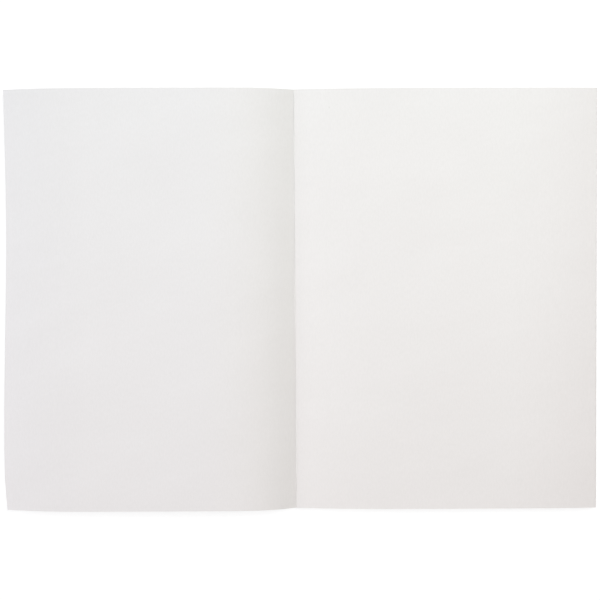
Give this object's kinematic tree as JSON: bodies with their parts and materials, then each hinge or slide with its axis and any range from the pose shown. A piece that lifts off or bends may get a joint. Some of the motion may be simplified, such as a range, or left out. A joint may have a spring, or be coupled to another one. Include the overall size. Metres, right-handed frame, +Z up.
{
  "type": "undated planner",
  "caption": "Soft-cover stapled planner lying open: blank paper leaves in a card cover, wire-stitched through the fold, with leaves and front cover that turn about the fold.",
  "frame": {"origin": "under the fold, at the middle of the page height, on the surface that the open planner lies on", "axes": "+X across the open spread towards the right page, +Y along the fold towards the head of the page, +Z up"},
  "size_m": [0.297, 0.21, 0.0033],
  "materials": {
    "page_paper": "uncoated off-white writing paper, fine fibre mottle",
    "cover_card": "plain pale uncoated card",
    "stitch_wire": "bright flat stitching wire"
  },
  "bodies": {
    "booklet_base": {"back_cover": "cover_card", "cover_spine": "cover_card", "stitch_head": "stitch_wire", "stitch_tail": "stitch_wire"},
    "front_cover": {"front_cover": "cover_card"},
    "leaf_01": {"leaf_01": "page_paper"},
    "leaf_02": {"leaf_02": "page_paper"},
    "leaf_03": {"leaf_03": "page_paper"},
    "leaf_04": {"leaf_04": "page_paper"},
    "leaf_05": {"leaf_05": "page_paper"},
    "leaf_06": {"leaf_06": "page_paper"},
    "leaf_07": {"leaf_07": "page_paper"},
    "leaf_08": {"leaf_08": "page_paper"},
    "leaf_09": {"leaf_09": "page_paper"},
    "leaf_10": {"leaf_10": "page_paper"},
    "leaf_11": {"leaf_11": "page_paper"},
    "leaf_12": {"leaf_12": "page_paper"},
    "leaf_13": {"leaf_13": "page_paper"},
    "leaf_14": {"leaf_14": "page_paper"},
    "leaf_15": {"leaf_15": "page_paper"},
    "leaf_16": {"leaf_16": "page_paper"},
    "leaf_17": {"leaf_17": "page_paper"},
    "leaf_18": {"leaf_18": "page_paper"},
    "leaf_19": {"leaf_19": "page_paper"},
    "leaf_20": {"leaf_20": "page_paper"},
    "leaf_21": {"leaf_21": "page_paper"},
    "leaf_22": {"leaf_22": "page_paper"},
    "leaf_23": {"leaf_23": "page_paper"},
    "leaf_24": {"leaf_24": "page_paper"},
    "leaf_25": {"leaf_25": "page_paper"},
    "leaf_26": {"leaf_26": "page_paper"},
    "leaf_27": {"leaf_27": "page_paper"},
    "leaf_28": {"leaf_28": "page_paper"},
    "leaf_29": {"leaf_29": "page_paper"},
    "leaf_30": {"leaf_30": "page_paper"},
    "leaf_31": {"leaf_31": "page_paper"},
    "leaf_32": {"leaf_32": "page_paper"}
  },
  "joints": [
    {"name": "front_cover_turn", "type": "hinge", "parent": "booklet_base", "child": "front_cover", "pos_m": [0, 0, 0.00298], "axis": [0, 1, 0], "range_deg": [0, 176.2]},
    {"name": "leaf_01_turn", "type": "hinge", "parent": "booklet_base", "child": "leaf_01", "pos_m": [0, 0, 0.00298], "axis": [0, 1, 0], "range_deg": [0, 176.24]},
    {"name": "leaf_02_turn", "type": "hinge", "parent": "booklet_base", "child": "leaf_02", "pos_m": [0, 0, 0.00298], "axis": [0, 1, 0], "range_deg": [0, 176.27]},
    {"name": "leaf_03_turn", "type": "hinge", "parent": "booklet_base", "child": "leaf_03", "pos_m": [0, 0, 0.00298], "axis": [0, 1, 0], "range_deg": [0, 176.3]},
    {"name": "leaf_04_turn", "type": "hinge", "parent": "booklet_base", "child": "leaf_04", "pos_m": [0, 0, 0.00298], "axis": [0, 1, 0], "range_deg": [0, 176.33]},
    {"name": "leaf_05_turn", "type": "hinge", "parent": "booklet_base", "child": "leaf_05", "pos_m": [0, 0, 0.00298], "axis": [0, 1, 0], "range_deg": [0, 176.37]},
    {"name": "leaf_06_turn", "type": "hinge", "parent": "booklet_base", "child": "leaf_06", "pos_m": [0, 0, 0.00298], "axis": [0, 1, 0], "range_deg": [0, 176.4]},
    {"name": "leaf_07_turn", "type": "hinge", "parent": "booklet_base", "child": "leaf_07", "pos_m": [0, 0, 0.00298], "axis": [0, 1, 0], "range_deg": [0, 176.43]},
    {"name": "leaf_08_turn", "type": "hinge", "parent": "booklet_base", "child": "leaf_08", "pos_m": [0, 0, 0.00298], "axis": [0, 1, 0], "range_deg": [0, 176.46]},
    {"name": "leaf_09_turn", "type": "hinge", "parent": "booklet_base", "child": "leaf_09", "pos_m": [0, 0, 0.00298], "axis": [0, 1, 0], "range_deg": [0, 176.49]},
    {"name": "leaf_10_turn", "type": "hinge", "parent": "booklet_base", "child": "leaf_10", "pos_m": [0, 0, 0.00298], "axis": [0, 1, 0], "range_deg": [0, 176.53]},
    {"name": "leaf_11_turn", "type": "hinge", "parent": "booklet_base", "child": "leaf_11", "pos_m": [0, 0, 0.00298], "axis": [0, 1, 0], "range_deg": [0, 176.56]},
    {"name": "leaf_12_turn", "type": "hinge", "parent": "booklet_base", "child": "leaf_12", "pos_m": [0, 0, 0.00298], "axis": [0, 1, 0], "range_deg": [0, 176.59]},
    {"name": "leaf_13_turn", "type": "hinge", "parent": "booklet_base", "child": "leaf_13", "pos_m": [0, 0, 0.00298], "axis": [0, 1, 0], "range_deg": [0, 176.62]},
    {"name": "leaf_14_turn", "type": "hinge", "parent": "booklet_base", "child": "leaf_14", "pos_m": [0, 0, 0.00298], "axis": [0, 1, 0], "range_deg": [0, 176.66]},
    {"name": "leaf_15_turn", "type": "hinge", "parent": "booklet_base", "child": "leaf_15", "pos_m": [0, 0, 0.00298], "axis": [0, 1, 0], "range_deg": [-176.6, 0]},
    {"name": "leaf_16_turn", "type": "hinge", "parent": "booklet_base", "child": "leaf_16", "pos_m": [0, 0, 0.00298], "axis": [0, 1, 0], "range_deg": [-176.58, 0]},
    {"name": "leaf_17_turn", "type": "hinge", "parent": "booklet_base", "child": "leaf_17", "pos_m": [0, 0, 0.00298], "axis": [0, 1, 0], "range_deg": [-176.56, 0]},
    {"name": "leaf_18_turn", "type": "hinge", "parent": "booklet_base", "child": "leaf_18", "pos_m": [0, 0, 0.00298], "axis": [0, 1, 0], "range_deg": [-176.53, 0]},
    {"name": "leaf_19_turn", "type": "hinge", "parent": "booklet_base", "child": "leaf_19", "pos_m": [0, 0, 0.00298], "axis": [0, 1, 0], "range_deg": [-176.51, 0]},
    {"name": "leaf_20_turn", "type": "hinge", "parent": "booklet_base", "child": "leaf_20", "pos_m": [0, 0, 0.00298], "axis": [0, 1, 0], "range_deg": [-176.49, 0]},
    {"name": "leaf_21_turn", "type": "hinge", "parent": "booklet_base", "child": "leaf_21", "pos_m": [0, 0, 0.00298], "axis": [0, 1, 0], "range_deg": [-176.46, 0]},
    {"name": "leaf_22_turn", "type": "hinge", "parent": "booklet_base", "child": "leaf_22", "pos_m": [0, 0, 0.00298], "axis": [0, 1, 0], "range_deg": [-176.44, 0]},
    {"name": "leaf_23_turn", "type": "hinge", "parent": "booklet_base", "child": "leaf_23", "pos_m": [0, 0, 0.00298], "axis": [0, 1, 0], "range_deg": [-176.42, 0]},
    {"name": "leaf_24_turn", "type": "hinge", "parent": "booklet_base", "child": "leaf_24", "pos_m": [0, 0, 0.00298], "axis": [0, 1, 0], "range_deg": [-176.39, 0]},
    {"name": "leaf_25_turn", "type": "hinge", "parent": "booklet_base", "child": "leaf_25", "pos_m": [0, 0, 0.00298], "axis": [0, 1, 0], "range_deg": [-176.37, 0]},
    {"name": "leaf_26_turn", "type": "hinge", "parent": "booklet_base", "child": "leaf_26", "pos_m": [0, 0, 0.00298], "axis": [0, 1, 0], "range_deg": [-176.35, 0]},
    {"name": "leaf_27_turn", "type": "hinge", "parent": "booklet_base", "child": "leaf_27", "pos_m": [0, 0, 0.00298], "axis": [0, 1, 0], "range_deg": [-176.32, 0]},
    {"name": "leaf_28_turn", "type": "hinge", "parent": "booklet_base", "child": "leaf_28", "pos_m": [0, 0, 0.00298], "axis": [0, 1, 0], "range_deg": [-176.3, 0]},
    {"name": "leaf_29_turn", "type": "hinge", "parent": "booklet_base", "child": "leaf_29", "pos_m": [0, 0, 0.00298], "axis": [0, 1, 0], "range_deg": [-176.28, 0]},
    {"name": "leaf_30_turn", "type": "hinge", "parent": "booklet_base", "child": "leaf_30", "pos_m": [0, 0, 0.00298], "axis": [0, 1, 0], "range_deg": [-176.25, 0]},
    {"name": "leaf_31_turn", "type": "hinge", "parent": "booklet_base", "child": "leaf_31", "pos_m": [0, 0, 0.00298], "axis": [0, 1, 0], "range_deg": [-176.23, 0]},
    {"name": "leaf_32_turn", "type": "hinge", "parent": "booklet_base", "child": "leaf_32", "pos_m": [0, 0, 0.00298], "axis": [0, 1, 0], "range_deg": [-176.21, 0]}
  ],
  "couplings": [
    {"joint": "leaf_01_turn", "follows": "front_cover_turn", "ratio": 1.0002},
    {"joint": "leaf_02_turn", "follows": "front_cover_turn", "ratio": 1.0004},
    {"joint": "leaf_03_turn", "follows": "front_cover_turn", "ratio": 1.0005},
    {"joint": "leaf_04_turn", "follows": "front_cover_turn", "ratio": 1.0007},
    {"joint": "leaf_05_turn", "follows": "front_cover_turn", "ratio": 1.0009},
    {"joint": "leaf_06_turn", "follows": "front_cover_turn", "ratio": 1.0011},
    {"joint": "leaf_07_turn", "follows": "front_cover_turn", "ratio": 1.0013},
    {"joint": "leaf_08_turn", "follows": "front_cover_turn", "ratio": 1.0015},
    {"joint": "leaf_09_turn", "follows": "front_cover_turn", "ratio": 1.0016},
    {"joint": "leaf_10_turn", "follows": "front_cover_turn", "ratio": 1.0018},
    {"joint": "leaf_11_turn", "follows": "front_cover_turn", "ratio": 1.002},
    {"joint": "leaf_12_turn", "follows": "front_cover_turn", "ratio": 1.0022},
    {"joint": "leaf_13_turn", "follows": "front_cover_turn", "ratio": 1.0024},
    {"joint": "leaf_14_turn", "follows": "front_cover_turn", "ratio": 1.0026},
    {"joint": "leaf_16_turn", "follows": "leaf_15_turn", "ratio": 0.99987},
    {"joint": "leaf_17_turn", "follows": "leaf_15_turn", "ratio": 0.99973},
    {"joint": "leaf_18_turn", "follows": "leaf_15_turn", "ratio": 0.9996},
    {"joint": "leaf_19_turn", "follows": "leaf_15_turn", "ratio": 0.99947},
    {"joint": "leaf_20_turn", "follows": "leaf_15_turn", "ratio": 0.99933},
    {"joint": "leaf_21_turn", "follows": "leaf_15_turn", "ratio": 0.9992},
    {"joint": "leaf_22_turn", "follows": "leaf_15_turn", "ratio": 0.99907},
    {"joint": "leaf_23_turn", "follows": "leaf_15_turn", "ratio": 0.99893},
    {"joint": "leaf_24_turn", "follows": "leaf_15_turn", "ratio": 0.9988},
    {"joint": "leaf_25_turn", "follows": "leaf_15_turn", "ratio": 0.99867},
    {"joint": "leaf_26_turn", "follows": "leaf_15_turn", "ratio": 0.99853},
    {"joint": "leaf_27_turn", "follows": "leaf_15_turn", "ratio": 0.9984},
    {"joint": "leaf_28_turn", "follows": "leaf_15_turn", "ratio": 0.99827},
    {"joint": "leaf_29_turn", "follows": "leaf_15_turn", "ratio": 0.99813},
    {"joint": "leaf_30_turn", "follows": "leaf_15_turn", "ratio": 0.998},
    {"joint": "leaf_31_turn", "follows": "leaf_15_turn", "ratio": 0.99787},
    {"joint": "leaf_32_turn", "follows": "leaf_15_turn", "ratio": 0.99774}
  ]
}
